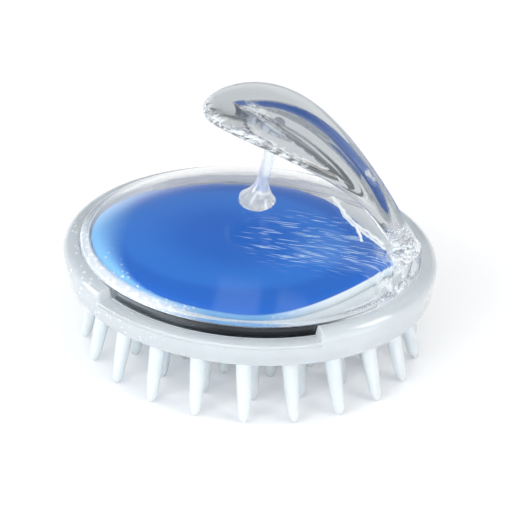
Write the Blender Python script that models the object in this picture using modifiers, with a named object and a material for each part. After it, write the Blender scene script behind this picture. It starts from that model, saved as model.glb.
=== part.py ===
"""Clear scalp massager brush: oval base ring, soft pin pad, colour insert, domed cover and leaf handle.

The part stands on its pin tips. The origin is the middle of that plane, X runs along the body
towards the root of the handle, and Z points up. Lengths are in metres.
"""

import math

import bmesh
import bpy
from mathutils import Matrix, Vector

MM = 0.001

# Clearances
SEAT_GAP = 0.3 * MM
SLIDE_GAP = 0.3 * MM

# Body plan: an oval, drawn as a circle of half the length and then narrowed across
BODY_LENGTH = 90.0 * MM
BODY_WIDTH = 70.0 * MM

# Base ring
RING_HEIGHT = 9.0 * MM
RING_WALL = 4.0 * MM
RING_FOOT_DRAFT = 0.8 * MM
RING_CROWN_RADIUS = 2.6 * MM
LIP_WIDTH = 1.8 * MM
LIP_HEIGHT = 1.6 * MM
NOTCH_DEPTH = 2.9 * MM
NOTCH_CENTRE_DEG = -95.0
NOTCH_LENGTH = 51.5 * MM

# Soft pin pad
PAD_FLANGE_HEIGHT = 1.8 * MM
PIN_LENGTH = 19.0 * MM
PIN_ROOT_RADIUS = 2.05 * MM
PIN_TIP_RADIUS = 1.45 * MM
PIN_WAIST_SHARE = 0.55
PIN_WAIST_TAPER = 0.42
PIN_NOSE_LENGTH = 3.0 * MM
PIN_NOSE_TURN_DEG = 72.0
PIN_TIP_TRIM = 0.5 * MM
PIN_EDGE_INSET = 2.3 * MM
PIN_ROW_PITCH = 9.3 * MM
PIN_PITCH = 9.4 * MM
PIN_SPLAY_DEG = 14.0

# Backing plate
PLATE_HEIGHT = 1.5 * MM
RECESS_DEPTH = 0.6 * MM

# Colour insert: a shallow dish, round at one end and drawn to a point at the other
INSERT_ROUND_INSET = 0.6 * MM
INSERT_POINT_INSET = 3.4 * MM
INSERT_SIDE_INSET = 3.5 * MM
INSERT_WIDEST_AT = 2.5 * MM
INSERT_POINT_SHARPNESS = 1.09
INSERT_HEIGHT = 5.2 * MM
INSERT_RIM_SHARE = 0.45
INSERT_CROWN_REACH = 0.92
INSERT_CROWN_POWER = 1.6
INSERT_WALL = 1.0 * MM

# Trim band
TRIM_WALL = 0.7 * MM
TRIM_RECESS = 0.5 * MM

# Domed cover
SKIRT_WALL = 1.3 * MM
COVER_WALL = 2.2 * MM
COVER_EDGE_HEIGHT = 1.1 * MM
COVER_EDGE_RADIUS = 0.9 * MM
COVER_EDGE_TURN_DEG = 60.0
DOME_RISE = 12.1 * MM

# Leaf handle
FINGER_GAP = 21.3 * MM
LEAF_THICKNESS = 4.6 * MM
LEAF_ARCH = 1.5 * MM
LEAF_MAX_WIDTH = 25.4 * MM
LEAF_NECK_WIDTH = 7.5 * MM
LEAF_FOOT_FLARE = 1.4 * MM
LEAF_FOOT_SHARE = 0.12
LEAF_ROOT_INSET = 4.2 * MM
LEAF_ROOT_LIFT = 1.5 * MM
LEAF_NECK_LIFT = 11.7 * MM
LEAF_NECK_LEAN_DEG = 15.2
LEAF_TIP_REACH = 10.2 * MM
LEAF_SWEEP_REACH = 22.7 * MM
LEAF_SWEEP_LIFT = 5.8 * MM
LEAF_WIDEST_SHARE = 0.72
LEAF_FULLNESS = 1.4
LEAF_EDGE_POWER = 0.8
LEAF_END_POWER = 0.5
LEAF_END_SHARE = 0.998

# Raised finger rest on the underside of the leaf, pointed at both ends
REST_HEIGHT = 3.6 * MM
REST_EDGE = 5.6 * MM
REST_START_SHARE = 0.04
REST_END_SHARE = 0.89
REST_POINT_POWER = 0.8

# Tenon of the handle, through a slot in the cover
TENON_LENGTH = 2.5 * MM
TENON_WIDTH = 4.4 * MM
TENON_INSET = 2.9 * MM
TENON_REACH = 1.6 * MM

# Finger post
POST_AT = 2.3 * MM
POST_LEAN_DEG = 11.3
POST_FOOT_RADIUS = 4.6 * MM
POST_NECK_RADIUS = 1.4 * MM
POST_TOP_RADIUS = 1.25 * MM
POST_FLARE_HEIGHT = 7.5 * MM
POST_FLARE_POWER = 2.4
POST_SOCKET_DEPTH = 0.8 * MM
PEG_RADIUS = 1.2 * MM
PEG_REACH = 0.6 * MM

# Colours
CLEAR_COLOUR = (0.86, 0.91, 0.94)
MILKY_COLOUR = (0.80, 0.87, 0.92)
BLUE_COLOUR = (0.045, 0.17, 0.58)
SOFT_COLOUR = (0.82, 0.88, 0.94)
PLATED_COLOUR = (0.30, 0.32, 0.35)

# Facets
BODY_STEPS = 56
CROWN_STEPS = 5
NOTCH_STEPS = 12
DOME_STEPS = 12
EDGE_STEPS = 3
POST_STEPS = 16
POST_FLARE_STEPS = 8
PIN_STEPS = 8
PIN_NOSE_STEPS = 3
LEAF_SIDES = 22
LEAF_STEPS = 22
INSERT_SIDES = 48
INSERT_STEPS = 6
HALVINGS = 40
MERGE_DISTANCE = 0.01 * MM
SHARP_EDGE_DEG = 35.0

# Heights of the stack, from the pin tips up
OVAL = BODY_WIDTH / BODY_LENGTH
RING_BOTTOM = PIN_LENGTH
RING_TOP = RING_BOTTOM + RING_HEIGHT
LIP_TOP = RING_BOTTOM + LIP_HEIGHT
PAD_FLANGE_BOTTOM = LIP_TOP + SEAT_GAP
PAD_TOP = PAD_FLANGE_BOTTOM + PAD_FLANGE_HEIGHT
PLATE_BOTTOM = PAD_TOP + SEAT_GAP
PLATE_TOP = PLATE_BOTTOM + PLATE_HEIGHT
RECESS_FLOOR = PLATE_TOP - RECESS_DEPTH
INSERT_BOTTOM = RECESS_FLOOR + SEAT_GAP
SKIRT_BOTTOM = PLATE_TOP + SEAT_GAP
TRIM_TOP = RING_TOP - TRIM_RECESS
COVER_EDGE_BOTTOM = TRIM_TOP + SEAT_GAP
DOME_EDGE = COVER_EDGE_BOTTOM + COVER_EDGE_HEIGHT
DOME_TOP = DOME_EDGE + DOME_RISE

# Radii of the oval along X, from the outside in
RING_OUTER = BODY_LENGTH / 2.0
RING_INNER = RING_OUTER - RING_WALL
LIP_INNER = RING_INNER - LIP_WIDTH
FLANGE_RADIUS = RING_INNER - SLIDE_GAP
PAD_BOSS_RADIUS = LIP_INNER - SLIDE_GAP
TRIM_OUTER = RING_INNER - SLIDE_GAP
TRIM_INNER = TRIM_OUTER - TRIM_WALL
SKIRT_OUTER = TRIM_INNER - SLIDE_GAP
SKIRT_INNER = SKIRT_OUTER - SKIRT_WALL
COVER_EDGE = TRIM_OUTER

# Reach of the insert inside the skirt
INSERT_ROUND_REACH = SKIRT_INNER - INSERT_ROUND_INSET
INSERT_POINT_REACH = SKIRT_INNER - INSERT_POINT_INSET
INSERT_HALF_WIDTH = SKIRT_INNER * OVAL - INSERT_SIDE_INSET


def dome_height(radius, lift=0.0):
    """Height of the cover's outer face at a distance from the middle, measured along X."""
    share = min(abs(radius) / COVER_EDGE, 1.0)
    return DOME_EDGE + DOME_RISE * (1.0 - share * share) + lift


# Centre line of the leaf, in the XZ plane: root, neck, sweep and tip
LEAF_ROOT = Vector((COVER_EDGE - LEAF_ROOT_INSET, 0.0,
                    dome_height(COVER_EDGE - LEAF_ROOT_INSET) + LEAF_ROOT_LIFT))
LEAF_TIP = Vector((-LEAF_TIP_REACH, 0.0, DOME_TOP + FINGER_GAP + LEAF_THICKNESS / 2.0))
LEAF_NECK = LEAF_ROOT + LEAF_NECK_LIFT * Vector((-math.sin(math.radians(LEAF_NECK_LEAN_DEG)), 0.0,
                                                 math.cos(math.radians(LEAF_NECK_LEAN_DEG))))
LEAF_SWEEP = LEAF_TIP + Vector((LEAF_SWEEP_REACH, 0.0, LEAF_SWEEP_LIFT))

POST_FOOT = Vector((POST_AT, 0.0, dome_height(POST_AT)))
POST_AXIS = Vector((math.sin(math.radians(POST_LEAN_DEG)), 0.0, math.cos(math.radians(POST_LEAN_DEG))))


def clear_scene():
    """Remove what the scene starts with."""
    for item in list(bpy.data.objects):
        bpy.data.objects.remove(item, do_unlink=True)


def new_collection(name):
    """Make a collection in the scene."""
    collection = bpy.data.collections.new(name)
    bpy.context.scene.collection.children.link(collection)
    return collection


def plastic(name, colour, roughness, metallic=0.0, transmission=0.0, alpha=1.0):
    """Make a Principled material."""
    material = bpy.data.materials.new(name)
    material.use_nodes = True
    shader = material.node_tree.nodes["Principled BSDF"]
    shader.inputs["Base Color"].default_value = (*colour, 1.0)
    shader.inputs["Roughness"].default_value = roughness
    shader.inputs["Metallic"].default_value = metallic
    shader.inputs["Transmission Weight"].default_value = transmission
    shader.inputs["Alpha"].default_value = alpha
    material.diffuse_color = (*colour, alpha)
    return material


def clear_plastic(name):
    """Make the see-through material of a polished piece."""
    return plastic(name, CLEAR_COLOUR, 0.06, transmission=1.0, alpha=0.45)


def place(name, mesh, collection, material=None):
    """Put a mesh in a collection as a named object."""
    item = bpy.data.objects.new(name, mesh)
    collection.objects.link(item)
    if material is not None:
        mesh.materials.append(material)
    return item


def as_cutter(item):
    """Mark an object as a tool that is not itself a piece."""
    item.hide_render = True
    item.display_type = "WIRE"
    return item


def combine(piece, tool, operation):
    """Cut a tool out of a piece, or join it to the piece."""
    modifier = piece.modifiers.new(tool.name, "BOOLEAN")
    modifier.operation = operation
    modifier.solver = "EXACT"
    modifier.object = tool


def turned(name, profile, collection, material=None, steps=BODY_STEPS, oval=OVAL, closed=True):
    """Turn an (r, z) profile round Z; the body's pieces are then narrowed to its oval."""
    mesh = bpy.data.meshes.new(name)
    points = [(radius, 0.0, height) for radius, height in profile]
    edges = [(i, i + 1) for i in range(len(points) - 1)]
    if closed:
        edges.append((len(points) - 1, 0))
    mesh.from_pydata(points, edges, [])
    item = place(name, mesh, collection, material)
    item.scale = (1.0, oval, 1.0)
    screw = item.modifiers.new("turn", "SCREW")
    screw.steps = steps
    screw.render_steps = steps
    screw.use_merge_vertices = True
    screw.merge_threshold = MERGE_DISTANCE
    screw.use_smooth_shade = True
    return item


def lofted(name, rings, collection, material=None, close_start=True, close_end=True):
    """Skin a row of closed rings that have the same number of points."""
    shape = bmesh.new()
    rows = [[shape.verts.new(point) for point in ring] for ring in rings]
    for row, following in zip(rows, rows[1:]):
        for i in range(len(row)):
            j = (i + 1) % len(row)
            shape.faces.new((row[i], row[j], following[j], following[i]))
    if close_start:
        shape.faces.new(rows[0])
    if close_end:
        shape.faces.new(rows[-1])
    bmesh.ops.recalc_face_normals(shape, faces=shape.faces)
    mesh = bpy.data.meshes.new(name)
    shape.to_mesh(mesh)
    shape.free()
    mesh.shade_smooth()
    mesh.set_sharp_from_angle(angle=math.radians(SHARP_EDGE_DEG))
    return place(name, mesh, collection, material)


def upright(name, outline, low, high, collection):
    """Solid with a given outline and straight sides between two heights."""
    rings = [[point + Vector((0.0, 0.0, height)) for point in outline] for height in (low, high)]
    return lofted(name, rings, collection)


def oval_point(radius, degrees):
    """Point of the body's oval at a turn angle."""
    turn = math.radians(degrees)
    return Vector((radius * math.cos(turn), OVAL * radius * math.sin(turn), 0.0))


def oval_perimeter(radius):
    """Length round the oval of a given half length."""
    return math.tau * radius * math.sqrt((1.0 + OVAL * OVAL) / 2.0)


def arc_points(centre_r, centre_z, radius, first_deg, last_deg, steps):
    """Points of an arc in a profile."""
    points = []
    for i in range(steps + 1):
        turn = math.radians(first_deg + (last_deg - first_deg) * i / steps)
        points.append((centre_r + radius * math.cos(turn), centre_z + radius * math.sin(turn)))
    return points


def dome_points(edge, lift):
    """Profile of the dome from the middle out to an edge radius."""
    radii = [edge * i / DOME_STEPS for i in range(DOME_STEPS + 1)]
    return [(radius, dome_height(radius, lift)) for radius in radii]


def make_base_ring(parts, cutters, material):
    """Ring with a crowned outer wall, an inner lip for the pad and a pry notch in its top edge."""
    crown_centre = RING_OUTER - RING_CROWN_RADIUS
    profile = [(RING_INNER, RING_TOP)]
    crown_height = RING_TOP - RING_CROWN_RADIUS
    profile += arc_points(crown_centre, crown_height, RING_CROWN_RADIUS, 90.0, 0.0, CROWN_STEPS)
    profile += [(RING_OUTER - RING_FOOT_DRAFT, RING_BOTTOM),
                (LIP_INNER, RING_BOTTOM),
                (LIP_INNER, LIP_TOP),
                (RING_INNER, LIP_TOP)]
    ring = turned("base_ring", profile, parts, material)

    half_span = 360.0 * NOTCH_LENGTH / oval_perimeter(RING_OUTER) / 2.0
    first = NOTCH_CENTRE_DEG - half_span
    turns = [first + 2.0 * half_span * i / NOTCH_STEPS for i in range(NOTCH_STEPS + 1)]
    outline = [oval_point(RING_OUTER + RING_WALL, turn) for turn in turns]
    outline += [oval_point(RING_INNER - RING_WALL, turn) for turn in reversed(turns)]
    notch = upright("pry_notch", outline, RING_TOP - NOTCH_DEPTH, RING_TOP + NOTCH_DEPTH, cutters)
    combine(ring, as_cutter(notch), "DIFFERENCE")
    return ring


def pin_profile():
    """(depth, radius) along a pin: a slow taper, then a blunt round nose."""
    length = PIN_LENGTH + PIN_TIP_TRIM
    straight = length - PIN_NOSE_LENGTH
    waist = PIN_ROOT_RADIUS + (PIN_TIP_RADIUS - PIN_ROOT_RADIUS) * PIN_WAIST_TAPER
    rows = [(0.0, PIN_ROOT_RADIUS), (straight * PIN_WAIST_SHARE, waist)]
    for i in range(PIN_NOSE_STEPS + 1):
        turn = math.radians(PIN_NOSE_TURN_DEG * i / PIN_NOSE_STEPS)
        rows.append((straight + PIN_NOSE_LENGTH * math.sin(turn), PIN_TIP_RADIUS * math.cos(turn)))
    return rows


def pin_roots():
    """Root points of all pins, row by row from the edge of the pad to its middle."""
    outer = PAD_BOSS_RADIUS - PIN_EDGE_INSET
    roots = []
    radius = outer
    row = 0
    while radius > PIN_PITCH / 2.0:
        count = max(3, round(oval_perimeter(radius) / PIN_PITCH))
        for i in range(count):
            turn = 360.0 * (i + 0.5 * (row % 2)) / count
            lean = math.tan(math.radians(PIN_SPLAY_DEG)) * oval_point(radius / outer, turn)
            roots.append((oval_point(radius, turn), lean))
        radius -= PIN_ROW_PITCH
        row += 1
    return roots


def make_bristle_pad(parts, cutters, material):
    """Soft pad: a flange that lies on the ring's lip and rows of splayed pins fused to it."""
    root_depth = PAD_FLANGE_HEIGHT / 2.0
    profile = [(0.0, PAD_TOP),
               (FLANGE_RADIUS, PAD_TOP),
               (FLANGE_RADIUS, PAD_FLANGE_BOTTOM),
               (PAD_BOSS_RADIUS, PAD_FLANGE_BOTTOM),
               (PAD_BOSS_RADIUS, RING_BOTTOM),
               (0.0, RING_BOTTOM)]
    pad = turned("bristle_pad", profile, parts, material, closed=False)

    shape = bmesh.new()
    for root, lean in pin_roots():
        rows = [(-root_depth, PIN_ROOT_RADIUS)] + pin_profile()
        rings = []
        for depth, radius in rows:
            middle = root + lean * depth + Vector((0.0, 0.0, RING_BOTTOM - depth))
            ring = []
            for i in range(PIN_STEPS):
                turn = math.tau * i / PIN_STEPS
                ring.append(shape.verts.new(middle + radius * Vector((math.cos(turn), math.sin(turn), 0.0))))
            rings.append(ring)
        for ring, following in zip(rings, rings[1:]):
            for i in range(PIN_STEPS):
                j = (i + 1) % PIN_STEPS
                shape.faces.new((ring[j], ring[i], following[i], following[j]))
        shape.faces.new(rings[0])
        shape.faces.new(list(reversed(rings[-1])))
    mesh = bpy.data.meshes.new("pins")
    shape.to_mesh(mesh)
    shape.free()
    mesh.shade_smooth()
    combine(pad, as_cutter(place("pins", mesh, cutters)), "UNION")

    reach = BODY_LENGTH
    floor = turned("floor_trim", [(0.0, 0.0), (reach, 0.0), (reach, -PIN_LENGTH), (0.0, -PIN_LENGTH)],
                   cutters, closed=False)
    combine(pad, as_cutter(floor), "DIFFERENCE")
    return pad


def insert_half_width(x, grow=0.0):
    """Half width of the insert at a place along X: an ellipse, drawn to a point towards the handle."""
    offset = x - INSERT_WIDEST_AT
    if offset < 0.0:
        reach = INSERT_ROUND_REACH + grow + INSERT_WIDEST_AT
        power = 0.5
    else:
        reach = INSERT_POINT_REACH + grow - INSERT_WIDEST_AT
        power = INSERT_POINT_SHARPNESS
    share = min(abs(offset) / reach, 1.0)
    return (INSERT_HALF_WIDTH + grow) * (1.0 - share * share) ** power


def insert_outline(grow=0.0):
    """Outline of the insert, once round."""
    half = INSERT_SIDES // 2
    first = -(INSERT_ROUND_REACH + grow)
    length = INSERT_ROUND_REACH + INSERT_POINT_REACH + 2.0 * grow
    xs = [first + length * (1.0 - math.cos(math.pi * i / half)) / 2.0 for i in range(half + 1)]
    near = [Vector((x, -insert_half_width(x, grow), 0.0)) for x in xs]
    far = [Vector((x, insert_half_width(x, grow), 0.0)) for x in reversed(xs[1:-1])]
    return near + far


def make_backing_plate(parts, cutters, material):
    """Stiff plate behind the soft pad, with a shallow recess that locates the insert."""
    profile = [(0.0, PLATE_TOP),
               (FLANGE_RADIUS, PLATE_TOP),
               (FLANGE_RADIUS, PLATE_BOTTOM),
               (0.0, PLATE_BOTTOM)]
    plate = turned("backing_plate", profile, parts, material, closed=False)
    outline = insert_outline(SLIDE_GAP)
    recess = upright("insert_recess", outline, RECESS_FLOOR, PLATE_TOP + PLATE_HEIGHT, cutters)
    combine(plate, as_cutter(recess), "DIFFERENCE")
    return plate


def make_colour_insert(parts, material):
    """Thin dish that turns down to a standing rim all round."""
    middle = Vector((INSERT_WIDEST_AT, 0.0, 0.0))
    rim = INSERT_HEIGHT * INSERT_RIM_SHARE
    outline = insert_outline()
    rings = [[point + Vector((0.0, 0.0, INSERT_BOTTOM)) for point in outline]]
    for step in range(INSERT_STEPS + 1):
        turn = math.pi / 2.0 * step / INSERT_STEPS
        scale = 1.0 - INSERT_CROWN_REACH * (1.0 - math.cos(turn)) ** INSERT_CROWN_POWER
        height = INSERT_BOTTOM + rim + (INSERT_HEIGHT - rim) * math.sin(turn)
        rings.append([middle + (point - middle) * scale + Vector((0.0, 0.0, height)) for point in outline])
    insert = lofted("colour_insert", rings, parts, material, close_start=False)
    wall = insert.modifiers.new("wall", "SOLIDIFY")
    wall.thickness = INSERT_WALL
    wall.offset = -1.0
    return insert


def make_trim_band(parts, material):
    """Plated band round the cover's skirt."""
    profile = [(TRIM_INNER, TRIM_TOP),
               (TRIM_OUTER, TRIM_TOP),
               (TRIM_OUTER, SKIRT_BOTTOM),
               (TRIM_INNER, SKIRT_BOTTOM)]
    return turned("trim_band", profile, parts, material)


def make_top_cover(parts, cutters, material):
    """Clear dome with an edge that covers the trim band and a skirt that plugs into it."""
    shoulder = COVER_EDGE - COVER_EDGE_RADIUS
    profile = dome_points(shoulder, 0.0)
    corner = dome_height(shoulder) - COVER_EDGE_RADIUS
    profile += arc_points(shoulder, corner, COVER_EDGE_RADIUS, COVER_EDGE_TURN_DEG, 0.0, EDGE_STEPS)
    profile += [(COVER_EDGE, COVER_EDGE_BOTTOM),
                (SKIRT_OUTER, COVER_EDGE_BOTTOM),
                (SKIRT_OUTER, SKIRT_BOTTOM),
                (SKIRT_INNER, SKIRT_BOTTOM)]
    profile += reversed(dome_points(SKIRT_INNER, -COVER_WALL))
    cover = turned("top_cover", profile, parts, material, closed=False)

    slot = tenon_block("tenon_slot", cutters, SLIDE_GAP, DOME_TOP)
    combine(cover, as_cutter(slot), "DIFFERENCE")
    hole = post_cylinder("peg_hole", cutters, PEG_RADIUS + SLIDE_GAP, -2.0 * COVER_WALL, COVER_WALL)
    combine(cover, as_cutter(hole), "DIFFERENCE")
    return cover


def solid_dome(name, cutters, lift):
    """Solid that fills the cover out to a little above its outer face, and lies flat beyond its edge."""
    profile = dome_points(COVER_EDGE, lift)
    profile += [(BODY_LENGTH, DOME_EDGE + lift), (BODY_LENGTH, RING_BOTTOM), (0.0, RING_BOTTOM)]
    return as_cutter(turned(name, profile, cutters, closed=False))


def leaf_point(share):
    """Point of the leaf's centre line, from its root (0) to its tip (1)."""
    rest = 1.0 - share
    return (rest ** 3 * LEAF_ROOT + 3.0 * rest ** 2 * share * LEAF_NECK
            + 3.0 * rest * share ** 2 * LEAF_SWEEP + share ** 3 * LEAF_TIP)


def leaf_normal(share):
    """Direction out of the leaf's upper face."""
    step = 0.001
    along = (leaf_point(share + step) - leaf_point(share - step)).normalized()
    return Vector((along.z, 0.0, -along.x))


def leaf_foot(share):
    """Swelling of the leaf where it stands on the cover."""
    return LEAF_FOOT_FLARE * max(1.0 - share / LEAF_FOOT_SHARE, 0.0) ** 2


def leaf_half_width(share):
    """Half width of the leaf: a narrow neck with a small foot, a wide blade and a round end."""
    neck = LEAF_NECK_WIDTH / 2.0
    widest = LEAF_MAX_WIDTH / 2.0
    if share > LEAF_WIDEST_SHARE:
        past = (share - LEAF_WIDEST_SHARE) / (1.0 - LEAF_WIDEST_SHARE)
        return widest * math.sqrt(max(1.0 - past * past, 0.0))
    rise = (max(share, 0.0) / LEAF_WIDEST_SHARE) ** LEAF_FULLNESS
    return neck + (widest - neck) * (3.0 * rise ** 2 - 2.0 * rise ** 3) + leaf_foot(share)


def leaf_half_thickness(share):
    """Half thickness of the leaf, swelling at the foot and thinner towards the round end."""
    if share <= LEAF_WIDEST_SHARE:
        return LEAF_THICKNESS / 2.0 + leaf_foot(share) / 2.0
    return LEAF_THICKNESS / 2.0 * (2.0 * leaf_half_width(share) / LEAF_MAX_WIDTH) ** LEAF_END_POWER


def leaf_arch(share):
    """Rise of the leaf's middle above its long edges."""
    return LEAF_ARCH * leaf_half_width(share) * 2.0 / LEAF_MAX_WIDTH


def rest_half_width(share):
    """Half width of the finger rest: the leaf's own outline set in by an edge, pointed at both ends."""
    middle = (REST_START_SHARE + REST_END_SHARE) / 2.0
    offset = (share - middle) / (REST_END_SHARE - middle)
    if abs(offset) >= 1.0:
        return 0.0
    rim = REST_EDGE * 2.0 * leaf_half_width(share) / LEAF_MAX_WIDTH
    return (leaf_half_width(share) - rim) * (1.0 - offset * offset) ** REST_POINT_POWER


def rest_height(share, across):
    """Height of the finger rest at a place across the leaf, measured from its middle."""
    half = rest_half_width(share)
    if abs(across) >= half:
        return 0.0
    widest = LEAF_MAX_WIDTH / 2.0 - REST_EDGE
    return REST_HEIGHT * math.sqrt(half / widest) * (1.0 - (across / half) ** 2)


def leaf_section(share):
    """One section of the leaf: a rounded slab, arched, with the finger rest raised on its underside."""
    middle = leaf_point(share)
    normal = leaf_normal(share)
    width = leaf_half_width(share)
    thick = leaf_half_thickness(share)
    ring = []
    for i in range(LEAF_SIDES):
        turn = math.tau * i / LEAF_SIDES
        across = math.cos(turn)
        up = math.copysign(abs(math.sin(turn)) ** LEAF_EDGE_POWER, math.sin(turn))
        rise = thick * up + leaf_arch(share) * (1.0 - across * across)
        if up < 0.0:
            rise -= rest_height(share, width * across)
        ring.append(middle + Vector((0.0, width * across, 0.0)) + normal * rise)
    return ring


def leaf_shares():
    """Stations along the leaf, close together where its end turns round."""
    blade = LEAF_STEPS * 2 // 3
    rounding = LEAF_STEPS - blade
    turns = [math.sin(math.pi / 2.0 * i / rounding) for i in range(rounding)] + [LEAF_END_SHARE]
    shares = [LEAF_WIDEST_SHARE * i / blade for i in range(-1, blade)]
    return shares + [LEAF_WIDEST_SHARE + (1.0 - LEAF_WIDEST_SHARE) * turn for turn in turns]


def tenon_block(name, collection, grow, top):
    """Square block of the handle's tenon, or of the slot it passes through."""
    far = COVER_EDGE - TENON_INSET
    middle = far - TENON_LENGTH / 2.0
    bottom = dome_height(far) - COVER_WALL - TENON_REACH
    half_x = TENON_LENGTH / 2.0 + grow
    half_y = TENON_WIDTH / 2.0 + grow
    corners = [Vector((middle - half_x, -half_y, 0.0)),
               Vector((middle + half_x, -half_y, 0.0)),
               Vector((middle + half_x, half_y, 0.0)),
               Vector((middle - half_x, half_y, 0.0))]
    return upright(name, corners, bottom - grow, top, collection)


def post_length():
    """Length of the post, from the dome to a little inside the leaf's finger rest."""
    low = 0.0
    high = 1.0
    for _ in range(HALVINGS):
        share = (low + high) / 2.0
        drop = leaf_half_thickness(share) + rest_height(share, 0.0) - leaf_arch(share)
        under = leaf_point(share) - leaf_normal(share) * drop
        along = (under - POST_FOOT).dot(POST_AXIS)
        if (under - POST_FOOT - POST_AXIS * along).x > 0.0:
            low = share
        else:
            high = share
    return along + POST_SOCKET_DEPTH


def stand_on_post_axis(item):
    """Stand a piece that was turned round its own Z on the post's axis."""
    item.location = POST_FOOT
    item.rotation_euler = (0.0, math.radians(POST_LEAN_DEG), 0.0)
    return item


def post_cylinder(name, collection, radius, low, high):
    """Plain round bar on the post's axis between two heights."""
    profile = [(0.0, high), (radius, high), (radius, low), (0.0, low)]
    return stand_on_post_axis(turned(name, profile, collection, steps=POST_STEPS, oval=1.0, closed=False))


def make_handle(parts, cutters, material):
    """Leaf handle, cut to the dome at its foot, with a tenon and a socket for the post."""
    handle = lofted("handle", [leaf_section(share) for share in leaf_shares()], parts, material)
    combine(handle, solid_dome("handle_seat", cutters, SEAT_GAP), "DIFFERENCE")
    tenon_top = dome_height(COVER_EDGE - TENON_INSET) + LEAF_THICKNESS / 2.0
    combine(handle, as_cutter(tenon_block("tenon", cutters, 0.0, tenon_top)), "UNION")
    socket = post_cylinder("post_socket", cutters, POST_TOP_RADIUS + SLIDE_GAP, POST_FLARE_HEIGHT,
                           post_length() + SEAT_GAP)
    combine(handle, as_cutter(socket), "DIFFERENCE")
    return handle


def make_finger_post(parts, cutters, material):
    """Tapered post with a flared foot and a peg through the dome."""
    length = post_length()
    profile = [(0.0, length), (POST_TOP_RADIUS, length)]
    for i in range(POST_FLARE_STEPS + 1):
        share = i / POST_FLARE_STEPS
        radius = POST_NECK_RADIUS + (POST_FOOT_RADIUS - POST_NECK_RADIUS) * share ** POST_FLARE_POWER
        profile.append((radius, POST_FLARE_HEIGHT * (1.0 - share)))
    profile += [(POST_FOOT_RADIUS, -COVER_WALL), (0.0, -COVER_WALL)]
    post = stand_on_post_axis(turned("finger_post", profile, parts, material, steps=POST_STEPS, oval=1.0,
                                     closed=False))
    combine(post, solid_dome("post_seat", cutters, SEAT_GAP), "DIFFERENCE")
    peg = post_cylinder("peg", cutters, PEG_RADIUS, -COVER_WALL - PEG_REACH, POST_FLARE_HEIGHT / 2.0)
    combine(post, as_cutter(peg), "UNION")
    return post


def main():
    """Build the brush."""
    clear_scene()
    parts = new_collection("scalp_massager_brush")
    cutters = new_collection("cutters")

    make_base_ring(parts, cutters, plastic("milky_plastic", MILKY_COLOUR, 0.22, transmission=0.4))
    make_bristle_pad(parts, cutters, plastic("frosted_silicone", SOFT_COLOUR, 0.42))
    make_backing_plate(parts, cutters, plastic("milky_plate", MILKY_COLOUR, 0.35))
    make_colour_insert(parts, plastic("blue_plastic", BLUE_COLOUR, 0.18))
    lifted = [make_trim_band(parts, plastic("plated_trim", PLATED_COLOUR, 0.12, metallic=1.0)),
              make_top_cover(parts, cutters, clear_plastic("clear_cover")),
              make_handle(parts, cutters, clear_plastic("clear_handle")),
              make_finger_post(parts, cutters, clear_plastic("clear_post"))]

    lift_axis = bpy.data.objects.new("cover_lift_axis", None)
    lift_axis.location = (0.0, 0.0, SKIRT_BOTTOM)
    parts.objects.link(lift_axis)
    for piece in lifted:
        piece.parent = lift_axis
        piece.matrix_parent_inverse = Matrix.Translation((0.0, 0.0, -SKIRT_BOTTOM))


main()
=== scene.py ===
"""Finished pieces of a clear scalp massager brush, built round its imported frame, in a plain studio."""

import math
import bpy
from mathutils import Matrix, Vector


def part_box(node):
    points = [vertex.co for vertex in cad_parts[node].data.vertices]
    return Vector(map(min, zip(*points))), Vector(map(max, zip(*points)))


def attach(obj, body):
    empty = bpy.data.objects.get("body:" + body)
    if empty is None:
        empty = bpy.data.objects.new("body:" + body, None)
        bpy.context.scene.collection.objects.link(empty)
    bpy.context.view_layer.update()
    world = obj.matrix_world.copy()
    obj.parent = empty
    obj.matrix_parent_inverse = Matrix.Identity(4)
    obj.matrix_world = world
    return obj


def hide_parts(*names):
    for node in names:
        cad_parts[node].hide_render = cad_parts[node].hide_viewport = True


bl_info = {
    "name": "Scalp massager brush",
    "version": (1, 0, 0),
    "blender": (4, 5, 0),
    "location": "3D View > Sidebar > Massager",
    "description": "Builds the finished pieces of an oval scalp massager brush and a plain studio round them",
    "category": "Add Mesh",
}

import bmesh
import bpy
from bpy.props import FloatProperty, FloatVectorProperty, IntProperty, PointerProperty
from mathutils import Matrix, Vector

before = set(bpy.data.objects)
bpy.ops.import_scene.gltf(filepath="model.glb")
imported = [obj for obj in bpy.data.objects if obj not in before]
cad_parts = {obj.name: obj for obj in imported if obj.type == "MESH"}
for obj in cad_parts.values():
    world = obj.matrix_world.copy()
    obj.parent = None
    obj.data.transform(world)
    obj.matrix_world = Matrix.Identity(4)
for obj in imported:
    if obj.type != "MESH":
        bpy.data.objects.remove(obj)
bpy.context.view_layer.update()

RING_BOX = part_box("base_ring")
PAD_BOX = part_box("bristle_pad")
PLATE_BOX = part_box("backing_plate")
INSERT_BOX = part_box("colour_insert")
TRIM_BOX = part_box("trim_band")
COVER_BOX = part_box("top_cover")

# Distance at which points are merged, turn that counts as a sharp edge, clearance between pieces, and
# rounding of small edges.
MERGE = 1e-7
SHARP = math.radians(38.0)
GAP = 0.0003
EDGE = 0.0003
WHITE = (1.0, 1.0, 1.0, 1.0)

# Points (x, y) of the forked white highlight painted on the dome beside the handle's root, and of its branch.
FORK_HIGHLIGHT = ((0.0183, 0.0100), (0.0222, 0.0038), (0.0253, 0.0016), (0.0319, -0.0008))
FORK_HIGHLIGHT_BRANCH = ((0.0253, 0.0016), (0.0268, -0.0021))


def length(description, default):
    """A length in metres for a user to change."""
    return FloatProperty(description=description, default=default, precision=5, subtype="DISTANCE",
                         unit="LENGTH")


def angle(description, degrees):
    """An angle for a user to change."""
    return FloatProperty(description=description, default=math.radians(degrees), subtype="ANGLE",
                         unit="ROTATION")


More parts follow.
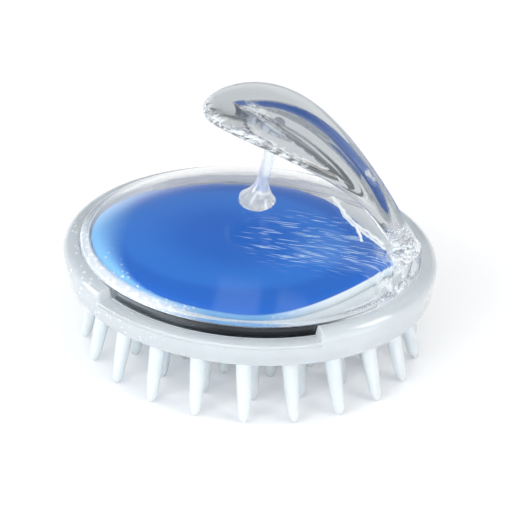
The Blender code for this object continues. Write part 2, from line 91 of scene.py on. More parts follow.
def share(description, default):
    """A plain factor for a user to change."""
    return FloatProperty(description=description, default=default, subtype="FACTOR", min=0.0, max=4.0)


def count(description, default, least):
    """A whole number for a user to change."""
    return IntProperty(description=description, default=default, min=least, max=64)


def lamp_power(description, default):
    """A lamp's power for a user to change."""
    return FloatProperty(description=description, default=default, unit="POWER")


def colour(description, default):
    """A colour for a user to change."""
    return FloatVectorProperty(description=description, default=default, size=3, min=0.0, max=1.0,
                               subtype="COLOR")


def named(group):
    """Name each setting of a group after its key."""
    for key, setting in group.__annotations__.items():
        title = key.replace("_", " ").capitalize()
        group.__annotations__[key] = setting.function(name=title, **setting.keywords)
    return group


@named
class BodySizes(bpy.types.PropertyGroup):
    """Oval body: ring, pad, plate, band and cover."""

    half_length: length("Half length of the ring", RING_BOX[1].x)
    half_width: length("Half width of the ring", RING_BOX[1].y)
    ring_bottom: length("Height of the ring's lower edge", RING_BOX[0].z)
    ring_top: length("Height of the ring's upper edge", RING_BOX[1].z)
    ring_wall: length("Thickness of the ring's wall", 0.0040)
    ring_draft: length("How far the wall leans in at its foot", 0.0008)
    crown_radius: length("Rounding of the ring's outer top edge", 0.0026)
    lip_width: length("Width of the lip that carries the pad", 0.0018)
    lip_height: length("Height of that lip", 0.0016)
    notch_depth: length("Depth of the pry notch", 0.0029)
    notch_centre: angle("Turn angle of the middle of the notch", -95.0)
    notch_length: length("Length of the notch along the ring", 0.0515)
    gap: length("Clearance between neighbouring pieces", GAP)
    seat: length("Clearance of the clear pieces that are bonded together", 0.00004)
    pad_top: length("Height of the pad's upper face", PAD_BOX[1].z)
    plate_bottom: length("Height of the plate's lower face", PLATE_BOX[0].z)
    plate_top: length("Height of the plate's upper face", PLATE_BOX[1].z)
    plate_radius: length("Half length of the plate", PLATE_BOX[1].x)
    trim_bottom: length("Height of the band's lower edge", TRIM_BOX[0].z)
    trim_top: length("Height of the band's upper edge", TRIM_BOX[1].z)
    trim_radius: length("Half length of the band", TRIM_BOX[1].x)
    trim_wall: length("Thickness of the band", 0.0007)
    cover_edge: length("Half length of the cover", COVER_BOX[1].x)
    cover_edge_bottom: length("Height of the cover's lower edge", TRIM_BOX[1].z + GAP)
    cover_edge_height: length("Height of the cover's upright edge", 0.0011)
    cover_wall: length("Thickness of the dome", 0.0022)
    skirt_bottom: length("Height of the skirt's lower edge", COVER_BOX[0].z)
    skirt_wall: length("Thickness of the skirt", 0.0013)
    dome_top: length("Height of the middle of the dome", COVER_BOX[1].z)

    @property
    def oval(self):
        """Width of the body for a length of one."""
        return self.half_width / self.half_length

    @property
    def skirt_outer(self):
        """Half length of the skirt's outer face."""
        return self.trim_radius - self.trim_wall - self.gap

    @property
    def dome_edge(self):
        """Height at which the dome starts."""
        return self.cover_edge_bottom + self.cover_edge_height

    def dome_height(self, radius, lift=0.0):
        """Height of the cover's outer face at a distance from the middle, measured along X."""
        part = min(abs(radius) / self.cover_edge, 1.0)
        return self.dome_edge + (self.dome_top - self.dome_edge) * (1.0 - part * part) + lift


@named
class PinSizes(bpy.types.PropertyGroup):
    """Pins of the soft pad."""

    root_radius: length("Radius of a pin at the pad", 0.00205)
    tip_radius: length("Radius of a pin above its nose", 0.00145)
    waist_share: share("Where along a pin its waist is", 0.55)
    waist_taper: share("How much of the taper is done at the waist", 0.42)
    nose: length("Length of the rounded nose", 0.0030)
    fillet: length("Rounding of a pin into the pad", 0.0007)
    edge_inset: length("Distance of the outer row from the pad's edge", 0.0023)
    row_pitch: length("Distance between rows", 0.0093)
    pitch: length("Distance between the pins of a row", 0.0094)
    splay: angle("Lean of the outer pins", 14.0)
    sides: count("Sides of a pin", 20, 6)


@named
class InsertSizes(bpy.types.PropertyGroup):
    """Blue insert under the cover."""

    round_reach: length("Reach of the round end", -INSERT_BOX[0].x)
    point_reach: length("Reach of the pointed end", INSERT_BOX[1].x)
    half_width: length("Half width of the insert", INSERT_BOX[1].y)
    widest_at: length("Where along the body the insert is widest", 0.0025)
    bottom: length("Height of its lower edge", INSERT_BOX[0].z)
    top: length("Height of its upper face", INSERT_BOX[1].z)
    point_power: share("How sharp the pointed end is", 1.09)
    rim_share: share("Upright part of the height", 0.45)
    crown_reach: share("How far in the crown runs", 0.92)
    crown_power: share("How flat the crown is", 1.6)


@named
class HandleSizes(bpy.types.PropertyGroup):
    """Leaf handle with the finger rest below it and the tenon at its root."""

    finger_gap: length("Height of the free end above the dome", 0.02122)
    thickness: length("Thickness of the leaf", 0.0046)
    arch: length("Rise of the leaf's middle above its edges", 0.0015)
    widest: length("Largest width of the leaf", 0.0254)
    neck: length("Width of the neck", 0.0075)
    foot_flare: length("Swelling of the foot", 0.0014)
    foot_share: share("Part of the length that swells", 0.12)
    root_inset: length("Distance of the root from the cover's edge", 0.0042)
    root_lift: length("Height of the root above the dome", 0.0015)
    neck_lift: length("Pull of the neck", 0.0117)
    neck_lean: angle("Lean of the neck", 15.2)
    tip_reach: length("Reach of the free end past the middle", 0.0102)
    sweep_reach: length("Pull of the free end along the body", 0.0227)
    sweep_lift: length("Pull of the free end upwards", 0.0058)
    widest_share: share("Where along the leaf it is widest", 0.72)
    fullness: share("How late the leaf widens", 1.4)
    edge_power: share("How square the leaf's edges are", 0.8)
    end_power: share("How the free end thins out", 0.5)
    rest_height: length("Height of the finger rest under the leaf", 0.0036)
    rest_edge: length("Width left beside the finger rest", 0.0056)
    rest_start: share("Where the finger rest starts", 0.04)
    rest_end: share("Where the finger rest ends", 0.89)
    rest_point: share("How pointed the finger rest is", 0.8)
    flutes: count("Fine flutes on each half of the finger rest", 3, 0)
    flute_depth: share("Depth of the flutes, as a share of the rest's height", 0.05)
    tenon_length: length("Length of the tenon", 0.0025)
    tenon_width: length("Width of the tenon", 0.0044)
    tenon_inset: length("Distance of the tenon from the cover's edge", 0.0029)
    tenon_reach: length("Reach of the tenon below the cover", 0.0016)


@named
class PostSizes(bpy.types.PropertyGroup):
    """Finger post between the dome and the leaf."""

    at: length("Place of the post along the body", 0.0023)
    lean: angle("Lean of the post", 11.3)
    foot: length("Radius of the flared foot", 0.0046)
    neck: length("Radius above the flare", 0.0014)
    top: length("Radius at the top", 0.00125)
    flare: length("Height of the flare", 0.0075)
    flare_power: share("How sudden the flare is", 2.4)
    socket: length("Depth of the socket in the leaf", 0.0008)
    peg: length("Radius of the peg in the dome", 0.0012)
    peg_reach: length("Reach of the peg below the dome", 0.0006)


@named
class FinishColours(bpy.types.PropertyGroup):
    """Colours of the finishes."""

    clear: colour("Tint of the clear cover", (0.985, 0.99, 0.995))
    # Painted shade: the clear handle is tinted grey to stand in for the grey background seen through it.
    smoky: colour("Tint of the clear handle", (0.60, 0.63, 0.65))
    foot: colour("Tint of the handle's foot", (0.93, 0.96, 0.98))
    # Painted highlights: white mixed into clear plastic where it is crinkled.
    crinkle: colour("White of the crinkles in clear plastic", (0.90, 0.94, 0.97))
    post: colour("Cloudy plastic of the post", (0.84, 0.88, 0.91))
    milky: colour("Milky plastic of the ring", (0.66, 0.705, 0.735))
    plate: colour("Milky plastic of the plate", (0.88, 0.945, 0.985))
    blue: colour("Middle of the insert", (0.009, 0.124, 0.545))
    # Painted light: the lighter pool round the middle of the insert.
    blue_pool: colour("Lighter part round that middle", (0.022, 0.184, 0.66))
    # Painted light on the insert's turned-down rim.
    blue_rim: colour("Turned-down rim of the insert", (0.24, 0.56, 0.96))
    # Painted glints on the scuffs, and the painted haze near the tip.
    scuff: colour("Scuffs on the insert", (0.66, 0.86, 1.0))
    speck: colour("Specks on the insert", (0.85, 0.92, 1.0))
    # Painted glints along the insert's front rim.
    glitter: colour("Glitter on the insert's rim", (0.95, 0.98, 1.0))
    silicone: colour("Frosted pins", (0.84, 0.92, 1.0))
    plated: colour("Dark plating of the band", (0.10, 0.106, 0.115))
    # Painted reflection: paler plating towards the round end; painted light: the pale, unplated ends of the
    # band.
    plated_end: colour("Plating towards the round end", (0.30, 0.33, 0.35))
    plated_worn: colour("Band where the plating is worn off", (0.80, 0.83, 0.86))
    plated_inside: colour("Inner face of the band", (0.66, 0.68, 0.70))


@named
class StudioSizes(bpy.types.PropertyGroup):
    """Camera, lamps and floor."""

    azimuth: angle("Turn of the camera round the brush", 12.4)
    elevation: angle("Height of the camera above the horizon", 36.1)
    distance: length("Distance of the camera", 0.400)
    target: FloatVectorProperty(description="Point that the camera looks at", default=(0.00175, 0.0, 0.02456),
                                size=3, subtype="TRANSLATION", unit="LENGTH")
    lens: FloatProperty(description="Focal length in millimetres", default=117.7)
    ambient: share("Level of the light from all round", 0.80)
    key: lamp_power("Power of the large lamp at the front", 1.2)
    low: lamp_power("Power of the low lamp for the pins", 0.85)
    left: lamp_power("Power of the lamp at the round end", 0.85)
    side: lamp_power("Power of the warm lamp at the side", 0.8)
    floor: colour("Colour of the floor", (0.88, 0.88, 0.88))
    floor_glow: share("Extra brightness of the floor where it is seen", 0.14)


class Massager(bpy.types.PropertyGroup):
    """All settings of the brush and its studio."""

    body: PointerProperty(type=BodySizes)
    pins: PointerProperty(type=PinSizes)
    insert: PointerProperty(type=InsertSizes)
    handle: PointerProperty(type=HandleSizes)
    post: PointerProperty(type=PostSizes)
    colours: PointerProperty(type=FinishColours)
    studio: PointerProperty(type=StudioSizes)


class Value:
    """A shader socket whose arithmetic is written with Python's operators."""

    def __init__(self, finish, socket):
        self.finish = finish
        self.socket = socket

    def output(self, name):
        """Another output of the same node."""
        return Value(self.finish, self.socket.node.outputs[name])

    def joined(self, operation, first, second):
        """A Math node on two values."""
        return self.finish.node("ShaderNodeMath", {"operation": operation}, {0: first, 1: second})

    def __add__(self, other):
        return self.joined("ADD", self, other)

    def __radd__(self, other):
        return self.joined("ADD", other, self)

    def __sub__(self, other):
        return self.joined("SUBTRACT", self, other)

    def __rsub__(self, other):
        return self.joined("SUBTRACT", other, self)

    def __mul__(self, other):
        return self.joined("MULTIPLY", self, other)

    def __rmul__(self, other):
        return self.joined("MULTIPLY", other, self)

    def __truediv__(self, other):
        return self.joined("DIVIDE", self, other)

    def __rtruediv__(self, other):
        return self.joined("DIVIDE", other, self)

    def __pow__(self, other):
        return self.joined("POWER", self, other)

    def __rpow__(self, other):
        return self.joined("POWER", other, self)


class Finish:
    """Node tree of one finish."""

    def __init__(self, tree):
        self.tree = tree
        tree.nodes.clear()

    @classmethod
    def material(cls, name):
        """An empty finish for a piece."""
        material = bpy.data.materials.new(name)
        material.use_nodes = True
        finish = cls(material.node_tree)
        finish.owner = material
        return finish

    def node(self, kind, settings=None, sockets=None, output=0):
        """Add a node: its settings first, then the values or links of its sockets."""
        node = self.tree.nodes.new(kind)
        for key, setting in (settings or {}).items():
            setattr(node, key, setting)
        for key, given in (sockets or {}).items():
            if isinstance(given, Value):
                self.tree.links.new(given.socket, node.inputs[key])
            else:
                node.inputs[key].default_value = given
        if output is None:
            return None
        return Value(self, node.outputs[output])

    def place(self):
        """Place on the piece, in metres."""
        return self.node("ShaderNodeTexCoord", output="Object")

    def axes(self, place):
        """The three coordinates of a place."""
        parts = self.node("ShaderNodeSeparateXYZ", {}, {0: place}, "X")
        return parts, parts.output("Y"), parts.output("Z")

    def mapped(self, place, scale, turn=0.0):
        """A place that is stretched, and turned round Z."""
        return self.node("ShaderNodeMapping", {}, {
            "Vector": place, "Scale": scale, "Rotation": (0.0, 0.0, turn)})

    def noise(self, place, scale, detail=2.0, rough=0.5, distortion=0.0):
        """Soft cloudy variation from 0 to 1."""
        return self.node("ShaderNodeTexNoise", {}, {
            "Vector": place, "Scale": scale, "Detail": detail, "Roughness": rough,
            "Distortion": distortion}, "Fac")

    def cells(self, place, scale, dimensions="3D"):
        """Distance from the middles of scattered cells."""
        return self.node("ShaderNodeTexVoronoi", {"voronoi_dimensions": dimensions},
                         {"Vector": place, "Scale": scale}, "Distance")

    def smooth(self, value, low, high):
        """Smooth step from 0 at low to 1 at high."""
        return self.node("ShaderNodeMapRange", {"interpolation_type": "SMOOTHSTEP"},
                         {"Value": value, "From Min": low, "From Max": high})

    def mix(self, factor, first, second):
        """Blend of two colours."""
        return self.node("ShaderNodeMix", {"data_type": "RGBA"}, {0: factor, 6: first, 7: second}, 2)

    def bump(self, height, distance):
        """Normal of a surface with fine relief."""
        return self.node("ShaderNodeBump", {}, {"Height": height, "Distance": distance})

    def blended(self, factor, first, second):
        """Blend of two shaders."""
        return self.node("ShaderNodeMixShader", {}, {0: factor, 1: first, 2: second})

    def principled(self, sockets):
        """Principled shader."""
        return self.node("ShaderNodeBsdfPrincipled", {}, sockets, "BSDF")

    def let_through(self, shader, part=1.0):
        """Surface of a clear or milky finish that lets a part of the light on to what lies behind it."""
        path = self.node("ShaderNodeLightPath", output="Is Shadow Ray")
        passing = self.node("ShaderNodeBsdfTransparent", {}, {"Color": (0.965, 0.97, 0.975, 1.0)})
        unseen = part * path.joined("MAXIMUM", path, path.output("Is Diffuse Ray"))
        return self.finished(self.blended(unseen, shader, passing))

    def finished(self, shader):
        """Give the finish its surface."""
        self.node("ShaderNodeOutputMaterial", {}, {"Surface": shader}, None)
        return self.owner


def rgba(values, level=1.0):
    """Colour with its fourth channel."""
    return (values[0] * level, values[1] * level, values[2] * level, 1.0)


def hairlines(finish, place, turn, fine, width):
    """Fine broken scratches that run one way."""
    along = finish.mapped(place, (fine * 0.035, fine, fine * 0.4), turn)
    lines = finish.noise(along, 1.0, 3.0, 0.6)
    return finish.smooth(lines, 1.0 - width, 1.0 - width * 0.72)


def line_marks(finish, x, y, points, width):
    """Thin line through some points, as a mask."""
    mask = 0.0
    for first, last in zip(points, points[1:]):
        run = (last[0] - first[0], last[1] - first[1])
        along = ((x - first[0]) * run[0] + (y - first[1]) * run[1]) / (run[0] ** 2 + run[1] ** 2)
        along = along.joined("MINIMUM", along.joined("MAXIMUM", along, 0.0), 1.0)
        away = ((x - first[0] - along * run[0]) ** 2.0 + (y - first[1] - along * run[1]) ** 2.0) ** 0.5
        mask = away.joined("MAXIMUM", mask, finish.smooth(away, width, 0.4 * width))
    return mask


def clear_plastic(finish, place, colours, tint, foot, frost, relief, depth, crinkle_highlights):
    """Surface of polished clear plastic with faint ripples and scratches, with painted white highlights where
    it is crinkled.
    """
    cloud = finish.noise(place, 70.0, 3.0)
    swell = finish.noise(place, 160.0, 1.0, 0.4)
    scratch = hairlines(finish, place, turn=0.25, fine=900.0, width=0.36)
    tone = finish.mix(cloud, rgba(tint, 0.97), rgba(tint))
    polished = finish.principled({
        "Base Color": finish.mix(foot, tone, rgba(colours.foot)),
        "Roughness": 0.012 + 0.02 * cloud + 0.10 * scratch + frost,
        "IOR": 1.49,
        "Transmission Weight": 1.0,
        "Normal": finish.bump(swell + 0.04 * scratch + relief, depth),
    })
    # Painted highlights: a matt white surface mixed into the clear plastic.
    white = finish.principled({"Base Color": rgba(colours.crinkle), "Roughness": 0.25})
    return finish.let_through(finish.blended(crinkle_highlights, polished, white))


def clear_dome(body, colours):
    """Clear plastic of the cover: frosted at its edge, with painted white highlights at the round end, on the
    creases at the root and along a forked mark.
    """
    finish = Finish.material("clear_cover")
    place = finish.place()
    x, y, _ = finish.axes(place)
    out = (x ** 2.0 + (y / body.oval) ** 2.0) ** 0.5 / body.cover_edge
    edge = finish.smooth(out, 0.91, 0.96)
    end = finish.smooth(out, 0.935, 0.965) * finish.smooth(x, 0.0, -0.018) * finish.smooth(y, 0.004, -0.008)
    root = finish.smooth(x, 0.029, 0.038)
    creases = finish.noise(finish.mapped(place, (1.0, 0.4, 1.0)), 700.0, 2.0)
    ragged = 0.0012 * (creases - 0.5)
    fork = line_marks(finish, x + ragged, y + ragged, FORK_HIGHLIGHT, width=0.0008)
    branch = line_marks(finish, x + ragged, y + ragged, FORK_HIGHLIGHT_BRANCH, width=0.00055)
    # Painted highlights: white at the round end, on the root's creases and along the forked mark.
    crinkle_highlights = ((0.52 + 0.26 * finish.smooth(finish.noise(place, 900.0, 2.0), 0.48, 0.66)) * end
                + 0.6 * root * finish.smooth(creases, 0.50, 0.62)
                + 0.85 * fork.joined("MAXIMUM", fork, branch))
    relief = 6.0 * root * creases
    return clear_plastic(finish, place, colours, colours.clear, 0.0, 0.11 * edge, relief, 0.00003, crinkle_highlights)


def clear_leaf(sizes, colours, widest_x, foot_top):
    """Clear plastic of the leaf, tinted grey as painted shade, with painted white highlights at its end, in
    the rest and at its foot.
    """
    finish = Finish.material("clear_handle")
    place = finish.place()
    x, y, z = finish.axes(place)
    foot = 1.0 - finish.smooth(z, foot_top - 0.003, foot_top)
    ahead = x.joined("MAXIMUM", widest_x - x, 0.0) / (widest_x + sizes.tip_reach)
    reach = (ahead ** 2.0 + (y / (sizes.widest / 2.0)) ** 2.0) ** 0.5
    edge = finish.smooth(reach, 0.84, 0.95) * finish.smooth(y, 0.006, -0.001)
    along = 0.8 * (x - 0.004) - 0.6 * (y + 0.002)
    beside = 0.6 * (x - 0.004) + 0.8 * (y + 0.002)
    heart = finish.smooth((along / 0.007) ** 2.0 + (beside / 0.0024) ** 2.0, 1.0, 0.3)
    heart = heart * finish.smooth(z, 0.0650, 0.0638)
    folds = finish.noise(finish.mapped(place, (0.4, 1.0, 1.0)), 900.0, 2.0, 0.5, 0.6)
    fine = finish.noise(finish.mapped(place, (0.35, 1.0, 1.0)), 900.0, 3.0, 0.6, 1.0)
    # Painted highlights: white crinkles at the leaf's edge, in the rest and at the foot.
    crinkle_highlights = finish.smooth(fine, 0.42, 0.60) * (0.55 * edge + 0.8 * heart + 0.45 * foot)
    relief = folds * (0.8 * edge + 1.8 * heart + 2.2 * foot)
    return clear_plastic(finish, place, colours, colours.smoky, foot, 0.08 * foot, relief, 0.00012, crinkle_highlights)


def milky_plastic(name, tint, see_through, glitter=False):
    """Milky moulded plastic: translucent, polished, a little cloudy, with or without painted glints and
    painted shade at its round end.
    """
    finish = Finish.material(name)
    place = finish.place()
    x, y, _ = finish.axes(place)
    cloud = finish.noise(place, 55.0, 4.0, 0.6)
    grain = finish.noise(place, 900.0, 2.0)
    tone = finish.mix(finish.smooth(cloud, 0.3, 0.75), rgba(tint, 0.95), rgba(tint, 1.03))
    if glitter:
        # Painted glints: white cells at the round end.
        glint_cells = finish.cells(place, 780.0)
        lot, _, _ = finish.axes(glint_cells.output("Color"))
        end = finish.smooth(x, -0.006, -0.026) * finish.smooth(y, 0.012, -0.004)
        bright = finish.smooth(glint_cells, 0.34, 0.18) * finish.smooth(lot, 0.45, 0.6)
        # Painted shade: the ring's round end is darker.
        tone = finish.mix(0.5 * end, tone, rgba(tint, 0.86))
        tone = finish.mix(end * bright, tone, finish.mix(0.14, WHITE, glint_cells.output("Color")))
    return finish.let_through(finish.principled({
        "Base Color": tone,
        "Roughness": 0.07 + 0.10 * cloud,
        "IOR": 1.47,
        "Transmission Weight": see_through,
        "Subsurface Weight": 0.35,
        "Subsurface Radius": (1.0, 1.1, 1.3),
        "Subsurface Scale": 0.003,
        "Coat Weight": 0.8,
        "Coat Roughness": 0.03,
        "Normal": finish.bump(grain + 3.0 * cloud, 0.00004),
    }), min(1.4 * see_through, 0.8))


def strokes(finish, place, scale, turn, rarity):
    """Short fine strokes that run one way, each a little bent."""
    wave = finish.noise(place, 110.0, 1.0)
    bent = finish.node("ShaderNodeVectorMath", {"operation": "ADD"}, {
        0: finish.mapped(place, (scale[0], scale[1], 1.0), turn),
        1: finish.node("ShaderNodeCombineXYZ", {}, {"Y": scale[1] * 0.0016 * wave})})
    cells = finish.cells(bent, 1.0, "2D")
    lot, _, _ = finish.axes(cells.output("Color"))
    return finish.smooth(cells, 0.25, 0.12) * finish.smooth(lot, rarity, 1.1)


def blue_plastic(sizes, colours):
    """Glossy blue with a painted pool of light round its middle and painted light on its turned-down rim,
    scuffed near the handle's root and the tip with painted glints on the scuffs, with a few specks and
    painted glints along the front rim.
    """
    finish = Finish.material("blue_plastic")
    place = finish.place()
    x, y, z = finish.axes(place)
    level = (z - sizes.bottom) / (sizes.top - sizes.bottom)
    left = finish.smooth(x, -0.012, -0.034)
    right = finish.smooth(x, 0.006, 0.024)
    reach = 0.46 + 0.26 * left + 0.05 * right
    turned_down = 1.0 - finish.smooth(level - reach, -0.02, 0.12 + 0.12 * left - 0.06 * right)
    cloud = finish.noise(place, 45.0, 3.0, 0.55)
    inner = ((x + 0.004) / 0.026) ** 2.0 + (y / 0.019) ** 2.0
    # Painted light: a lighter pool round the middle of the blue.
    painted_pool = finish.smooth(inner, 1.25, 0.95) * finish.smooth(inner, 0.05, 0.7)
    deep = finish.mix(0.7 * painted_pool + 0.2 * cloud, rgba(colours.blue), rgba(colours.blue_pool))
    # Painted light: the turned-down rim is light blue at the front and round end, turns to plate white
    # towards the point, and stays mostly dark blue at the back.
    side = finish.mix(right, rgba(colours.blue_rim), rgba(colours.plate))
    tone = finish.mix(turned_down * (1.0 - 0.7 * finish.smooth(y, 0.002, 0.018)), deep, side)
    near_root = finish.smooth(((x - 0.0145) / 0.0195) ** 2.0 + ((y - 0.002) / 0.0145) ** 2.0, 1.0, 0.15)
    near_tip = finish.smooth(x, 0.008, 0.018) * finish.smooth((y / 0.008) ** 2.0, 1.0, 0.3)
    # Scuffs near the root and the tip: rougher and raised, with painted glints in light blue.
    scuffs_and_glints = (near_root * strokes(finish, place, (80.0, 2500.0), -0.07, 0.50)
              + near_root * strokes(finish, place, (150.0, 3400.0), -0.16, 0.60)
              + near_tip * strokes(finish, place, (110.0, 3000.0), -0.12, 0.25))
    chosen = finish.noise(place, 60.0, 0.0)
    specks = finish.smooth(finish.cells(place, 130.0), 0.03, 0.02) * finish.smooth(chosen, 0.55, 0.6)
    # Painted glints on the scuffs, and a painted haze of light near the tip.
    tone = finish.mix(2.0 * scuffs_and_glints + 0.06 * near_tip, tone, rgba(colours.scuff))
    tone = finish.mix(0.8 * specks, tone, rgba(colours.speck))
    front = turned_down * finish.smooth(y, -0.008, -0.016) * (1.0 - right)
    # Painted glints along the front of the turned-down rim.
    glitter = finish.smooth(finish.cells(place, 620.0), 0.26, 0.14) * front
    tone = finish.mix(0.8 * glitter, tone, rgba(colours.glitter))
    return finish.finished(finish.principled({
        "Base Color": tone,
        "Roughness": 0.30 + 0.12 * cloud + 0.3 * scuffs_and_glints,
        "Specular IOR Level": 0.1,
        "Normal": finish.bump(cloud + 0.2 * scuffs_and_glints, 0.00008),
    }))


def plated(colours, body):
    """Dark plating with faint smears, with painted reflection that makes it paler towards the round end and
    darker towards the point, and painted light that makes both ends pale and unplated.
    """
    finish = Finish.material("plated_trim")
    place = finish.place()
    smear = finish.noise(finish.mapped(place, (1.0, 1.0, 4.0)), 60.0, 4.0, 0.6)
    x, y, _ = finish.axes(place)
    radius = (x ** 2.0 + (y / body.oval) ** 2.0) ** 0.5
    inside = radius - (body.trim_radius - 0.7 * body.trim_wall)
    dark = finish.mix(finish.smooth(smear, 0.35, 0.7), rgba(colours.plated, 0.75), rgba(colours.plated, 1.3))
    # Painted reflection: the plating is darker towards the point and paler towards the round end.
    dark = finish.mix(finish.smooth(x, -0.010, 0.001), dark, rgba(colours.plated, 0.48))
    dark = finish.mix(finish.smooth(x, -0.004, -0.034), dark, rgba(colours.plated_end))
    # Painted light: both ends of the band are pale and unplated, and there it is not metal.
    painted_pale_ends = finish.smooth(x, 0.020, 0.031) + 0.8 * finish.smooth(x, -0.0245, -0.0310)
    dark = finish.mix(painted_pale_ends, dark, rgba(colours.plated_worn))
    tone = finish.mix(finish.smooth(inside, 0.00003, -0.00003), dark, rgba(colours.plated_inside))
    return finish.finished(finish.principled({
        "Base Color": tone,
        "Metallic": 1.0 - 0.9 * painted_pale_ends,
        "Roughness": 0.06 + 0.12 * smear + 0.2 * painted_pale_ends,
        "Normal": finish.bump(smear, 0.00003),
    }))


def frosted_silicone(colours):
    """Soft frosted silicone: light passes into it, and its skin is matt."""
    finish = Finish.material("frosted_silicone")
    place = finish.place()
    cloud = finish.noise(place, 120.0, 3.0)
    frost = finish.noise(place, 2600.0, 2.0)
    pale, bright = rgba(colours.silicone, 0.97), rgba(colours.silicone, 1.02)
    return finish.finished(finish.principled({
        "Base Color": finish.mix(finish.smooth(cloud, 0.3, 0.7), pale, bright),
        "Roughness": 0.42 + 0.16 * frost,
        "IOR": 1.41,
        "Transmission Weight": 0.35,
        "Subsurface Weight": 0.8,
        "Subsurface Radius": (1.0, 1.1, 1.25),
        "Subsurface Scale": 0.004,
        "Normal": finish.bump(frost, 0.00002),
    }))


def link_mesh(name, shape):
    """Turn a finished shape into an object."""
    bmesh.ops.remove_doubles(shape, verts=shape.verts, dist=MERGE)
    bmesh.ops.recalc_face_normals(shape, faces=shape.faces)
    mesh = bpy.data.meshes.new(name)
    shape.to_mesh(mesh)
    shape.free()
    piece = bpy.data.objects.new(name, mesh)
    bpy.context.scene.collection.objects.link(piece)
    return piece


def skinned(shape, rows, loop_rows, loop_points):
    """Faces between rows of points."""
    last_row = len(rows) if loop_rows else len(rows) - 1
    for i in range(last_row):
        row = rows[i]
        following = rows[(i + 1) % len(rows)]
        last_point = len(row) if loop_points else len(row) - 1
        for j in range(last_point):
            k = (j + 1) % len(row)
            shape.faces.new((row[j], row[k], following[k], following[j]))


def filleted(corners, steps=6):
    """Profile through (r, z, fillet) corners, each rounded by its fillet."""
    points = []
    for i, (radius, height, fillet) in enumerate(corners):
        here = Vector((radius, height))
        if fillet <= 0.0:
            points.append(here)
            continue
        back = (Vector(corners[i - 1][:2]) - here).normalized()
        ahead = (Vector(corners[(i + 1) % len(corners)][:2]) - here).normalized()
        half = back.angle(ahead) / 2.0
        centre = here + (back + ahead).normalized() * fillet / math.sin(half)
        first = here + back * fillet / math.tan(half) - centre
        sweep = first.angle_signed(here + ahead * fillet / math.tan(half) - centre)
        for k in range(steps + 1):
            turn = -sweep * k / steps
            points.append(centre + Vector((first.x * math.cos(turn) - first.y * math.sin(turn),
                                           first.x * math.sin(turn) + first.y * math.cos(turn))))
    return points


def upright(shape, profile, turn, oval):
    """Points of a profile that stands at a turn round Z of an oval."""
    return [shape.verts.new((point[0] * math.cos(turn), point[0] * math.sin(turn) * oval, point[1]))
            for point in profile]


def turned(name, profile, oval, steps=192, closed=True):
    """Turn a profile round Z and narrow it to an oval."""
    shape = bmesh.new()
    rows = [upright(shape, profile, math.tau * i / steps, oval) for i in range(steps)]
    skinned(shape, rows, True, closed)
    return link_mesh(name, shape)


def raised(points, height):
    """Flat points, set at a height."""
    return [Vector((point.x, point.y, height)) for point in points]


def loft(shape, rings):
    """Skin a row of rings in a shape and close both ends."""
    rows = [[shape.verts.new(point) for point in ring] for ring in rings]
    skinned(shape, rows, False, True)
    shape.faces.new(rows[0])
    shape.faces.new(list(reversed(rows[-1])))


def lofted(name, rings):
    """A piece skinned over a row of rings."""
    shape = bmesh.new()
    loft(shape, rings)
    return link_mesh(name, shape)


def combined(piece, tool, operation):
    """Cut a tool out of a piece, or join it to the piece, and remove the tool."""
    modifier = piece.modifiers.new(tool.name, "BOOLEAN")
    modifier.operation = operation
    modifier.solver = "EXACT"
    modifier.object = tool
    graph = bpy.context.evaluated_depsgraph_get()
    mesh = bpy.data.meshes.new_from_object(piece.evaluated_get(graph))
    piece.modifiers.clear()
    piece.data = mesh
    bpy.data.objects.remove(tool, do_unlink=True)
    if not mesh.polygons:
        raise RuntimeError(f"{piece.name}: nothing is left after the {operation.lower()}")


def dressed(piece, material, body, node):
    """Give a piece its finish and set it on the frame."""
    piece.data.materials.clear()
    piece.data.materials.append(material)
    piece.data.shade_smooth()
    piece.data.set_sharp_from_angle(angle=SHARP)
    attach(piece, body)
    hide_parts(node)


def oval_perimeter(radius, oval):
    """Length round an oval of a given half length."""
    return math.tau * radius * math.sqrt((1.0 + oval * oval) / 2.0)


def eased(value, low, high):
    """Smooth step between two numbers."""
    part = min(max((value - low) / (high - low), 0.0), 1.0)
    return part * part * (3.0 - 2.0 * part)


